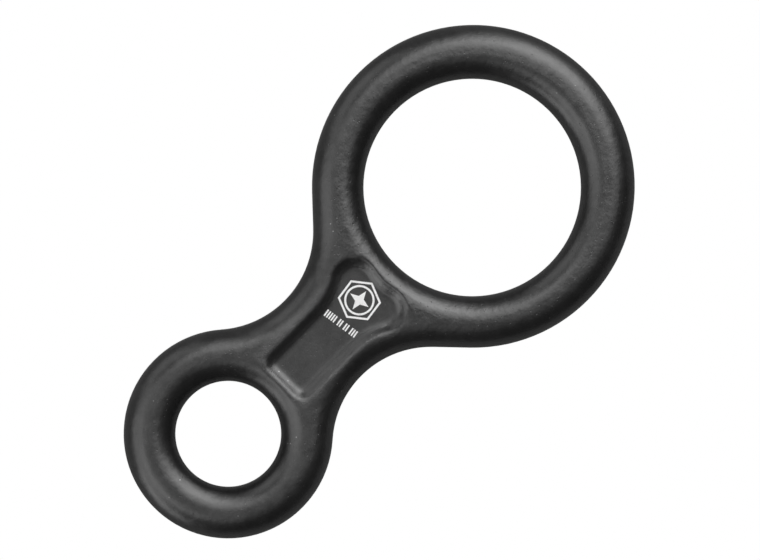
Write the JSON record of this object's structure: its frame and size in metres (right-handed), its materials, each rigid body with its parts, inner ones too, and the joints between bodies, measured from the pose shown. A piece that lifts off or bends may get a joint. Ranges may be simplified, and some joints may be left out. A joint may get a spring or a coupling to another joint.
{
  "type": "figure-eight belay device",
  "caption": "One-piece forged figure-eight descender: a large rope eye and a small carabiner eye on a waisted neck, with a shallow recess on each face.",
  "frame": {"origin": "centre of the carabiner eye, at mid-thickness", "axes": "+X along the device from the carabiner eye to the rope eye, +Z square to the marked front face, +Y across the neck"},
  "size_m": [0.1498, 0.0786, 0.0128],
  "materials": {
    "anodised_aluminium": "satin black anodised",
    "mark_fill": "matte"
  },
  "bodies": {
    "root": {"forged_body": "anodised_aluminium", "badge_inlay": "mark_fill", "stroke_inlay": "mark_fill"}
  },
  "joints": []
}
